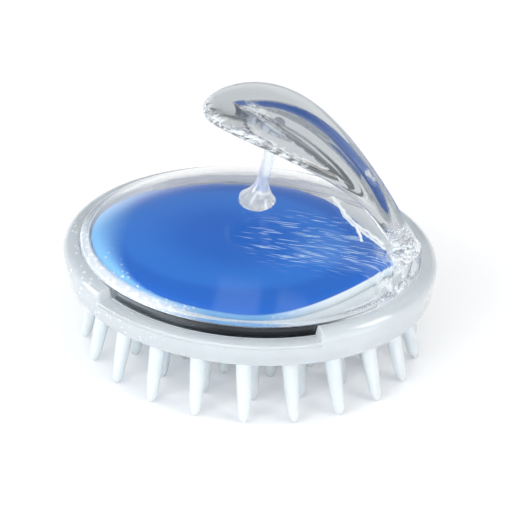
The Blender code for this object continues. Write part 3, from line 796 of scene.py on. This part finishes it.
class MASSAGER_OT_base_ring(bpy.types.Operator):
    """Milky ring round the body, with the pry notch in its front edge"""

    bl_idname = "massager.base_ring"
    bl_label = "Base ring"

    def profile(self, body, cut):
        """Section of the ring where the notch is cut to a share of its depth."""
        top = body.ring_top - body.notch_depth * cut
        inner = body.half_length - body.ring_wall
        lip = inner - body.lip_width
        lean = body.ring_draft / (body.ring_top - body.crown_radius - body.ring_bottom)
        foot = body.half_length - body.ring_draft
        notch_crown = 0.0004
        line_drop = 0.0008
        line_half = 0.0002
        line_depth = 0.0003
        inner_edge = 0.0005
        foot_edge = 0.0006
        crown = body.crown_radius + (notch_crown - body.crown_radius) * cut
        line = body.ring_top - body.notch_depth - line_drop
        wall = foot + lean * (line - body.ring_bottom)
        return filleted([
            (inner, top, inner_edge),
            (foot + lean * (top - body.ring_bottom), top, crown),
            (wall, line + line_half, 0.0),
            (wall - line_depth * cut, line, 0.0),
            (wall, line - line_half, 0.0),
            (foot, body.ring_bottom, foot_edge),
            (lip, body.ring_bottom, EDGE),
            (lip, body.ring_bottom + body.lip_height, EDGE),
            (inner, body.ring_bottom + body.lip_height, 0.0),
        ], steps=8)

    def execute(self, context):
        kit = context.scene.massager
        body = kit.body
        half = 180.0 * body.notch_length / oval_perimeter(body.half_length, body.oval)
        centre = math.degrees(body.notch_centre)
        ramp = 0.5
        step = 1.25
        fine_step = 0.1
        turns = {round(step * i, 3) - 180.0 for i in range(round(360.0 / step))}
        for end in (centre - half, centre + half):
            turns.update(round(end + fine_step * i, 3) for i in range(-8, 9))
        shape = bmesh.new()
        rows = []
        for degrees in sorted(turns):
            cut = 1.0 - eased(abs(degrees - centre), half - ramp, half + ramp)
            rows.append(upright(shape, self.profile(body, cut), math.radians(degrees), body.oval))
        skinned(shape, rows, True, True)
        material = milky_plastic("milky_plastic", kit.colours.milky, see_through=0.45, glitter=True)
        dressed(link_mesh("ring_moulding", shape), material, "base", "base_ring")
        return {"FINISHED"}


class MASSAGER_OT_pin_pad(bpy.types.Operator):
    """Frosted pad with its rows of splayed pins"""

    bl_idname = "massager.pin_pad"
    bl_label = "Pin pad"

    def pin_rows(self, pins, reach):
        """(depth, radius) along one pin."""
        inside_pad = 0.0004
        nose_turn = 86.4
        nose_steps = 8
        fillet_steps = 4
        rows = [(-inside_pad, pins.root_radius + pins.fillet)]
        for i in range(fillet_steps + 1):
            out = math.sin(math.pi / 2.0 * i / fillet_steps)
            rows.append((pins.fillet * 2.0 * out, pins.root_radius + pins.fillet * (1.0 - out) ** 2))
        straight = reach - pins.nose
        waist = pins.root_radius + (pins.tip_radius - pins.root_radius) * pins.waist_taper
        rows.append((straight * pins.waist_share, waist))
        for i in range(nose_steps + 1):
            turn = math.radians(nose_turn * i / nose_steps)
            rows.append((straight + pins.nose * math.sin(turn) / math.sin(math.radians(nose_turn)),
                         pins.tip_radius * math.cos(turn)))
        return rows

    def execute(self, context):
        kit = context.scene.massager
        body = kit.body
        pins = kit.pins
        inner = body.half_length - body.ring_wall
        boss = inner - body.lip_width - body.gap
        flange_bottom = body.ring_bottom + body.lip_height + body.gap
        pad = turned("pin_pad", [
            (0.0, body.pad_top),
            (body.plate_radius, body.pad_top),
            (body.plate_radius, flange_bottom),
            (boss, flange_bottom),
            (boss, body.ring_bottom),
            (0.0, body.ring_bottom),
        ], body.oval, closed=False)
        shape = bmesh.new()
        shape.from_mesh(pad.data)
        outer = boss - pins.edge_inset
        round_pin = [Vector((math.cos(math.tau * k / pins.sides), math.sin(math.tau * k / pins.sides), 0.0))
                     for k in range(pins.sides)]
        radius = outer
        row = 0
        while radius > pins.pitch / 2.0:
            pins_in_row = max(3, round(oval_perimeter(radius, body.oval) / pins.pitch))
            for i in range(pins_in_row):
                turn = math.tau * (i + 0.5 * (row % 2)) / pins_in_row
                out = Vector((radius * math.cos(turn), radius * math.sin(turn) * body.oval, 0.0))
                root = out + Vector((0.0, 0.0, body.ring_bottom))
                step = math.tan(pins.splay) * out / outer - Vector((0.0, 0.0, 1.0))
                loft(shape, [[root + step * depth + size * point for point in round_pin]
                             for depth, size in self.pin_rows(pins, body.ring_bottom)])
            radius -= pins.row_pitch
            row += 1
        bmesh.ops.recalc_face_normals(shape, faces=shape.faces)
        shape.to_mesh(pad.data)
        shape.free()
        dressed(pad, frosted_silicone(kit.colours), "base", "bristle_pad")
        return {"FINISHED"}


def insert_half_width(sizes, x):
    """Half width of the insert at a place along the body."""
    offset = x - sizes.widest_at
    if offset < 0.0:
        reach = sizes.round_reach + sizes.widest_at
        power = 0.5
    else:
        reach = sizes.point_reach - sizes.widest_at
        power = sizes.point_power
    part = min(abs(offset) / reach, 1.0)
    return sizes.half_width * (1.0 - part * part) ** power


def insert_outline(sizes, grow=0.0):
    """Outline of the insert, once round, or of the recess that holds it."""
    half = 96
    total = sizes.round_reach + sizes.point_reach
    xs = [total * (1.0 - math.cos(math.pi * i / half)) / 2.0 - sizes.round_reach for i in range(half + 1)]
    points = [Vector((x, -insert_half_width(sizes, x), 0.0)) for x in xs]
    points += [Vector((x, insert_half_width(sizes, x), 0.0)) for x in reversed(xs[1:-1])]
    return [point * (1.0 + grow / sizes.half_width) for point in points]


class MASSAGER_OT_backing_plate(bpy.types.Operator):
    """Milky plate behind the pad, with the recess that holds the insert"""

    bl_idname = "massager.backing_plate"
    bl_label = "Backing plate"

    def execute(self, context):
        kit = context.scene.massager
        body = kit.body
        top_edge = 0.0004
        plate = turned("plate_moulding", filleted([
            (0.0, body.plate_top, 0.0),
            (body.plate_radius, body.plate_top, top_edge),
            (body.plate_radius, body.plate_bottom, EDGE),
            (0.0, body.plate_bottom, 0.0),
        ]), body.oval, closed=False)
        outline = insert_outline(kit.insert, body.gap)
        floor = kit.insert.bottom - body.gap
        above = body.plate_top + 0.001
        recess = lofted("recess", [raised(outline, floor), raised(outline, above)])
        combined(plate, recess, "DIFFERENCE")
        material = milky_plastic("milky_plate", kit.colours.plate, see_through=0.05)
        dressed(plate, material, "base", "backing_plate")
        return {"FINISHED"}


class MASSAGER_OT_colour_insert(bpy.types.Operator):
    """Blue dish under the cover, round at one end and pointed at the other"""

    bl_idname = "massager.colour_insert"
    bl_label = "Colour insert"

    def execute(self, context):
        kit = context.scene.massager
        sizes = kit.insert
        height = sizes.top - sizes.bottom
        rim = height * sizes.rim_share
        middle = Vector((sizes.widest_at, 0.0, 0.0))
        outline = insert_outline(sizes)
        rings = [raised(outline, sizes.bottom)]
        steps = 28
        for step in range(steps + 1):
            turn = math.pi / 2.0 * step / steps
            scale = 1.0 - sizes.crown_reach * (1.0 - math.cos(turn)) ** sizes.crown_power
            level = sizes.bottom + rim + (height - rim) * math.sin(turn)
            rings.append(raised([middle + (point - middle) * scale for point in outline], level))
        material = blue_plastic(sizes, kit.colours)
        dressed(lofted("insert_dish", rings), material, "base", "colour_insert")
        return {"FINISHED"}


class MASSAGER_OT_trim_band(bpy.types.Operator):
    """Dark plated band in the groove, slightly bowed"""

    bl_idname = "massager.trim_band"
    bl_label = "Trim band"

    def execute(self, context):
        kit = context.scene.massager
        body = kit.body
        inner = body.trim_radius - body.trim_wall
        bow = 0.00025
        profile = [Vector((inner, body.trim_top)), Vector((inner, body.trim_bottom))]
        steps = 12
        for i in range(steps + 1):
            part = 2.0 * i / steps - 1.0
            height = (body.trim_bottom + body.trim_top + part * (body.trim_top - body.trim_bottom)) / 2.0
            profile.append(Vector((body.trim_radius - bow * part * part, height)))
        band = turned("plated_band", profile, body.oval)
        dressed(band, plated(kit.colours, body), "cover", "trim_band")
        return {"FINISHED"}


def dome_profile(body, edge, lift, steps=40):
    """Profile of the dome from the middle out to an edge."""
    return [Vector((edge * i / steps, body.dome_height(edge * i / steps, lift))) for i in range(steps + 1)]


def solid_dome(body, lift):
    """Tool that fills the cover out to a little above its outer face and lies flat beyond its edge."""
    profile = dome_profile(body, body.cover_edge, lift)
    far = 2.0 * body.half_length
    profile += [Vector((far, body.dome_edge + lift)), Vector((far, body.ring_bottom))]
    profile.append(Vector((0.0, body.ring_bottom)))
    return turned("seat", profile, body.oval, closed=False)


def tenon_block(body, handle, grow, top):
    """Block of the handle's tenon, or of the slot for it."""
    far = body.cover_edge - handle.tenon_inset
    middle = far - handle.tenon_length / 2.0
    half_x = handle.tenon_length / 2.0 + grow
    half_y = handle.tenon_width / 2.0 + grow
    bottom = body.dome_height(far) - body.cover_wall - handle.tenon_reach - grow
    corner = 0.0004
    outline = filleted([(middle - half_x, -half_y, corner), (middle + half_x, -half_y, corner),
                        (middle + half_x, half_y, corner), (middle - half_x, half_y, corner)], steps=4)
    return lofted("tenon", [raised(outline, bottom), raised(outline, top)])


def post_axis(body, post):
    """Foot and direction of the post."""
    foot = Vector((post.at, 0.0, body.dome_height(post.at)))
    return foot, Vector((math.sin(post.lean), 0.0, math.cos(post.lean)))


def on_post_axis(piece, body, post):
    """Stand a piece that was turned round its own Z on the post's axis."""
    foot, axis = post_axis(body, post)
    turn = Vector((0.0, 0.0, 1.0)).rotation_difference(axis).to_matrix().to_4x4()
    turn.translation = foot
    piece.data.transform(turn)
    return piece


def post_bar(body, post, radius, low, high):
    """Round bar on the post's axis."""
    bar = turned("bar", [(0.0, high), (radius, high), (radius, low), (0.0, low)], oval=1.0, steps=48,
                 closed=False)
    return on_post_axis(bar, body, post)


class MASSAGER_OT_clear_cover(bpy.types.Operator):
    """Clear dome with the skirt that plugs into the ring"""

    bl_idname = "massager.clear_cover"
    bl_label = "Clear cover"

    def execute(self, context):
        kit = context.scene.massager
        body = kit.body
        skirt_inner = body.skirt_outer - body.skirt_wall
        shoulder = body.cover_edge - 0.0019
        edge_top = body.dome_height(body.cover_edge) + 0.0002
        under_edge = 0.0008
        inside_end = skirt_inner - 0.0015
        corners = [(point.x, point.y, 0.0) for point in dome_profile(body, shoulder, 0.0)]
        corners += [
            (body.cover_edge, edge_top, under_edge),
            (body.cover_edge, body.cover_edge_bottom, EDGE),
            (body.skirt_outer, body.cover_edge_bottom, 0.0),
            (body.skirt_outer, body.skirt_bottom, EDGE),
            (skirt_inner, body.skirt_bottom, EDGE),
            (skirt_inner, body.dome_height(skirt_inner, -body.cover_wall), under_edge),
        ]
        inside = dome_profile(body, inside_end, -body.cover_wall)
        corners += [(point.x, point.y, 0.0) for point in reversed(inside)]
        cover = turned("dome_cover", filleted(corners), body.oval, closed=False)
        combined(cover, tenon_block(body, kit.handle, body.seat, body.dome_top), "DIFFERENCE")
        socket = post_bar(body, kit.post, kit.post.peg + body.seat, -2.0 * body.cover_wall, body.cover_wall)
        combined(cover, socket, "DIFFERENCE")
        dressed(cover, clear_dome(body, kit.colours), "cover", "top_cover")
        return {"FINISHED"}


class Leaf:
    """Form of the leaf handle."""

    def __init__(self, body, sizes):
        self.sizes = sizes
        root_x = body.cover_edge - sizes.root_inset
        self.root = Vector((root_x, 0.0, body.dome_height(root_x) + sizes.root_lift))
        self.tip = Vector((-sizes.tip_reach, 0.0, body.dome_top + sizes.finger_gap + sizes.thickness / 2.0))
        lean = Vector((-math.sin(sizes.neck_lean), 0.0, math.cos(sizes.neck_lean)))
        self.neck = self.root + sizes.neck_lift * lean
        self.sweep = self.tip + Vector((sizes.sweep_reach, 0.0, sizes.sweep_lift))

    def point(self, at):
        """Point of the centre line, from the root (0) to the tip (1)."""
        rest = 1.0 - at
        return (rest ** 3 * self.root + 3.0 * rest ** 2 * at * self.neck
                + 3.0 * rest * at ** 2 * self.sweep + at ** 3 * self.tip)

    def normal(self, at):
        """Direction out of the upper face."""
        step = 0.001
        along = (self.point(at + step) - self.point(at - step)).normalized()
        return Vector((along.z, 0.0, -along.x))

    def foot(self, at):
        """Swelling where the leaf stands on the cover."""
        return self.sizes.foot_flare * max(1.0 - at / self.sizes.foot_share, 0.0) ** 2

    def half_width(self, at):
        """Half width: a narrow neck with a small foot, a wide blade and a round end."""
        neck = self.sizes.neck / 2.0
        widest = self.sizes.widest / 2.0
        if at > self.sizes.widest_share:
            past = (at - self.sizes.widest_share) / (1.0 - self.sizes.widest_share)
            return widest * math.sqrt(max(1.0 - past * past, 0.0))
        rise = (max(at, 0.0) / self.sizes.widest_share) ** self.sizes.fullness
        return neck + (widest - neck) * (3.0 * rise ** 2 - 2.0 * rise ** 3) + self.foot(at)

    def half_thickness(self, at):
        """Half thickness, swelling at the foot and thinner towards the round end."""
        half = self.sizes.thickness / 2.0
        if at <= self.sizes.widest_share:
            return half + self.foot(at) / 2.0
        return half * (2.0 * self.half_width(at) / self.sizes.widest) ** self.sizes.end_power

    def arch(self, at):
        """Rise of the middle above the long edges."""
        return self.sizes.arch * self.half_width(at) * 2.0 / self.sizes.widest

    def rest(self, at, across):
        """Height of the finger rest on the underside, pointed at both ends."""
        sizes = self.sizes
        middle = (sizes.rest_start + sizes.rest_end) / 2.0
        offset = (at - middle) / (sizes.rest_end - middle)
        if abs(offset) >= 1.0:
            return 0.0
        rim = sizes.rest_edge * 2.0 * self.half_width(at) / sizes.widest
        half = (self.half_width(at) - rim) * (1.0 - offset * offset) ** sizes.rest_point
        if abs(across) >= half:
            return 0.0
        widest = sizes.widest / 2.0 - sizes.rest_edge
        flute = 1.0 - sizes.flute_depth * math.sin(sizes.flutes * math.pi * across / half) ** 2
        return sizes.rest_height * math.sqrt(half / widest) * (1.0 - (across / half) ** 2) * flute

    def section(self, at, sides):
        """One closed section."""
        middle = self.point(at)
        normal = self.normal(at)
        width = self.half_width(at)
        thick = self.half_thickness(at)
        ring = []
        for i in range(sides):
            turn = math.tau * i / sides
            across = math.cos(turn)
            up = math.copysign(abs(math.sin(turn)) ** self.sizes.edge_power, math.sin(turn))
            rise = thick * up + self.arch(at) * (1.0 - across * across)
            if up < 0.0:
                rise -= self.rest(at, width * across)
            ring.append(middle + Vector((0.0, width * across, 0.0)) + normal * rise)
        return ring

    def stations(self, blade, rounding):
        """Places along the leaf, close together where its end turns round."""
        widest = self.sizes.widest_share
        turns = [math.sin(math.pi / 2.0 * i / rounding) for i in range(rounding)] + [0.99985]
        places = [widest * i / blade for i in range(-4, blade)]
        return places + [widest + (1.0 - widest) * turn for turn in turns]

    def lofted(self, name):
        """The whole leaf before it is cut to the dome."""
        return lofted(name, [self.section(at, sides=160) for at in self.stations(blade=84, rounding=32)])

    def post_length(self, body, post):
        """Length of the post from the dome to a little inside the underside of the leaf."""
        foot, axis = post_axis(body, post)
        low, high = 0.0, 1.0
        along = 0.0
        for _ in range(40):
            at = (low + high) / 2.0
            drop = self.half_thickness(at) + self.rest(at, 0.0) - self.arch(at)
            under = self.point(at) - self.normal(at) * drop
            along = (under - foot).dot(axis)
            if (under - foot - axis * along).x > 0.0:
                low = at
            else:
                high = at
        return along + post.socket


class MASSAGER_OT_leaf_handle(bpy.types.Operator):
    """Clear leaf with its finger rest, cut to the dome and tenoned into it"""

    bl_idname = "massager.leaf_handle"
    bl_label = "Leaf handle"

    def execute(self, context):
        kit = context.scene.massager
        body = kit.body
        sizes = kit.handle
        leaf = Leaf(body, sizes)
        handle = leaf.lofted("leaf_handle")
        combined(handle, solid_dome(body, body.seat), "DIFFERENCE")
        top = body.dome_height(body.cover_edge - sizes.tenon_inset) + sizes.thickness / 2.0
        combined(handle, tenon_block(body, sizes, 0.0, top), "UNION")
        foot_top = leaf.root.z + 0.005
        material = clear_leaf(sizes, kit.colours, leaf.point(sizes.widest_share).x, foot_top)
        dressed(handle, material, "cover", "handle")
        return {"FINISHED"}


class MASSAGER_OT_finger_post(bpy.types.Operator):
    """Clear post with a flared foot, cut to the underside of the leaf"""

    bl_idname = "massager.finger_post"
    bl_label = "Finger post"

    def execute(self, context):
        kit = context.scene.massager
        body = kit.body
        post = kit.post
        leaf = Leaf(body, kit.handle)
        reach = leaf.post_length(body, post)
        profile = [(0.0, reach), (post.top - EDGE, reach), (post.top, reach - EDGE)]
        steps = 20
        for i in range(steps + 1):
            part = i / steps
            radius = post.neck + (post.foot - post.neck) * part ** post.flare_power
            profile.append((radius, post.flare * (1.0 - part)))
        profile += [(post.foot, -body.cover_wall), (0.0, -body.cover_wall)]
        bar = on_post_axis(turned("finger_bar", profile, oval=1.0, steps=64, closed=False), body, post)
        combined(bar, solid_dome(body, body.seat), "DIFFERENCE")
        above = leaf.lofted("above")
        above.data.transform(Matrix.Translation(post_axis(body, post)[1] * -body.seat))
        combined(bar, above, "DIFFERENCE")
        peg = post_bar(body, post, post.peg, -body.cover_wall - post.peg_reach, post.flare / 2.0)
        combined(bar, peg, "UNION")
        material = milky_plastic("clear_post", kit.colours.post, see_through=0.8)
        dressed(bar, material, "cover", "finger_post")
        return {"FINISHED"}


class MASSAGER_OT_stage(bpy.types.Operator):
    """Pale floor, soft lamps and the camera"""

    bl_idname = "massager.stage"
    bl_label = "Stage"

    def floor(self, studio):
        """Wide pale floor."""
        shape = bmesh.new()
        bmesh.ops.create_grid(shape, x_segments=8, y_segments=8, size=3.0)
        floor = link_mesh("floor", shape)
        below_tips = 0.0002
        floor.location.z = -below_tips
        finish = Finish.material("pale_floor")
        matt = finish.node("ShaderNodeBsdfDiffuse", {}, {"Color": rgba(studio.floor)})
        glow = finish.node("ShaderNodeEmission", {}, {"Color": WHITE, "Strength": studio.floor_glow})
        bright = finish.node("ShaderNodeAddShader", {}, {0: matt, 1: glow})
        camera, bent = self.seen(finish)
        floor.data.materials.append(finish.finished(
            finish.blended(camera.joined("MAXIMUM", camera, bent), matt, bright)))

    def seen(self, finish):
        """Masks of what is seen straight on, and of what is seen by gloss or through clear plastic."""
        camera = finish.node("ShaderNodeLightPath", output="Is Camera Ray")
        gloss = camera.output("Is Glossy Ray")
        return camera, camera.joined("MAXIMUM", gloss, camera.output("Is Transmission Ray"))

    def light(self, finish, tint, level):
        """Light from all round."""
        return finish.node("ShaderNodeBackground", {}, {"Color": tint, "Strength": level})

    def surround(self, context, studio):
        """Even light from all round; gloss and clear plastic see a room with two bright panes."""
        world = bpy.data.worlds.new("surround")
        world.use_nodes = True
        context.scene.world = world
        finish = Finish(world.node_tree)
        right, back, up = finish.axes(finish.node("ShaderNodeTexCoord", output="Generated"))
        # The room is white behind, and darker in front and overhead.
        front = finish.mix(finish.smooth(right, 0.1, 0.6), (0.10, 0.105, 0.11, 1.0), (0.55, 0.57, 0.59, 1.0))
        walls = finish.mix(finish.smooth(back, -0.5, 0.3), front, WHITE)
        room = finish.mix(finish.smooth(up, 0.08, 0.36), walls, (0.26, 0.27, 0.28, 1.0))
        panes = (finish.smooth(right, -0.26, -0.20) * finish.smooth(right, 0.05, -0.01)
                 + finish.smooth(right, 0.10, 0.15) * finish.smooth(right, 0.32, 0.26))
        panes = panes * finish.smooth(back, -0.04, -0.14) * finish.smooth(up, 0.5, 0.7)
        room = finish.mix(panes, room, (0.80, 0.84, 0.88, 1.0))
        camera, bent = self.seen(finish)
        even = self.light(finish, (0.96, 0.98, 1.0, 1.0), studio.ambient)
        lit = finish.blended(bent, even, self.light(finish, room, 1.0))
        both = finish.blended(camera, lit, self.light(finish, WHITE, 1.0))
        finish.node("ShaderNodeOutputWorld", {}, {"Surface": both}, None)

    def lamp(self, name, power, place, size, tint, target):
        """Soft lamp that faces the brush."""
        data = bpy.data.lights.new(name, "AREA")
        data.energy = power
        data.shape = "RECTANGLE"
        data.size, data.size_y = size
        data.color = tint
        item = bpy.data.objects.new(name, data)
        bpy.context.scene.collection.objects.link(item)
        item.location = place
        item.rotation_euler = (target - Vector(place)).to_track_quat("-Z", "Y").to_euler()
        item.visible_camera = False

    def execute(self, context):
        studio = context.scene.massager.studio
        target = Vector(studio.target)
        cool = (0.97, 0.985, 1.0)
        warm = (1.0, 0.94, 0.86)
        self.floor(studio)
        self.surround(context, studio)
        self.lamp("front", studio.key, (-0.28, -0.46, 0.36), (0.34, 0.34), cool, target)
        self.lamp("low", studio.low, (0.10, -0.50, 0.10), (0.40, 0.16), cool, target)
        self.lamp("left", studio.left, (-0.50, -0.12, 0.12), (0.20, 0.20), cool, target)
        self.lamp("side", studio.side, (0.46, -0.14, 0.26), (0.20, 0.28), warm, target)

        data = bpy.data.cameras.new("camera")
        data.lens = studio.lens
        data.sensor_width = 36.0
        camera = bpy.data.objects.new("camera", data)
        context.scene.collection.objects.link(camera)
        back = Vector((math.sin(studio.azimuth) * math.cos(studio.elevation),
                       -math.cos(studio.azimuth) * math.cos(studio.elevation),
                       math.sin(studio.elevation)))
        camera.location = target + back * studio.distance
        camera.rotation_euler = (-back).to_track_quat("-Z", "Y").to_euler()
        context.scene.camera = camera
        context.scene.view_settings.view_transform = "Standard"
        context.scene.cycles.max_bounces = 24
        context.scene.cycles.glossy_bounces = 12
        context.scene.cycles.transmission_bounces = 24
        context.scene.cycles.transparent_max_bounces = 16
        return {"FINISHED"}


class MASSAGER_PT_pieces(bpy.types.Panel):
    """Buttons for the pieces and the stage"""

    bl_idname = "MASSAGER_PT_pieces"
    bl_label = "Scalp massager brush"
    bl_space_type = "VIEW_3D"
    bl_region_type = "UI"
    bl_category = "Massager"

    def draw(self, context):
        for operator in OPERATORS:
            self.layout.operator(operator.bl_idname)


OPERATORS = (
    MASSAGER_OT_base_ring,
    MASSAGER_OT_pin_pad,
    MASSAGER_OT_backing_plate,
    MASSAGER_OT_colour_insert,
    MASSAGER_OT_trim_band,
    MASSAGER_OT_clear_cover,
    MASSAGER_OT_leaf_handle,
    MASSAGER_OT_finger_post,
    MASSAGER_OT_stage,
)
GROUPS = (BodySizes, PinSizes, InsertSizes, HandleSizes, PostSizes, FinishColours, StudioSizes, Massager)
CLASSES = GROUPS + OPERATORS + (MASSAGER_PT_pieces,)


def register():
    """Register the add-on."""
    for item in CLASSES:
        bpy.utils.register_class(item)
    bpy.types.Scene.massager = PointerProperty(type=Massager)


def unregister():
    """Remove the add-on."""
    del bpy.types.Scene.massager
    for item in reversed(CLASSES):
        bpy.utils.unregister_class(item)


def main():
    """Build every piece and the stage."""
    register()
    bpy.ops.massager.base_ring()
    bpy.ops.massager.pin_pad()
    bpy.ops.massager.backing_plate()
    bpy.ops.massager.colour_insert()
    bpy.ops.massager.trim_band()
    bpy.ops.massager.clear_cover()
    bpy.ops.massager.leaf_handle()
    bpy.ops.massager.finger_post()
    bpy.ops.massager.stage()
    bpy.context.view_layer.update()


if __name__ == "__main__":
    main()
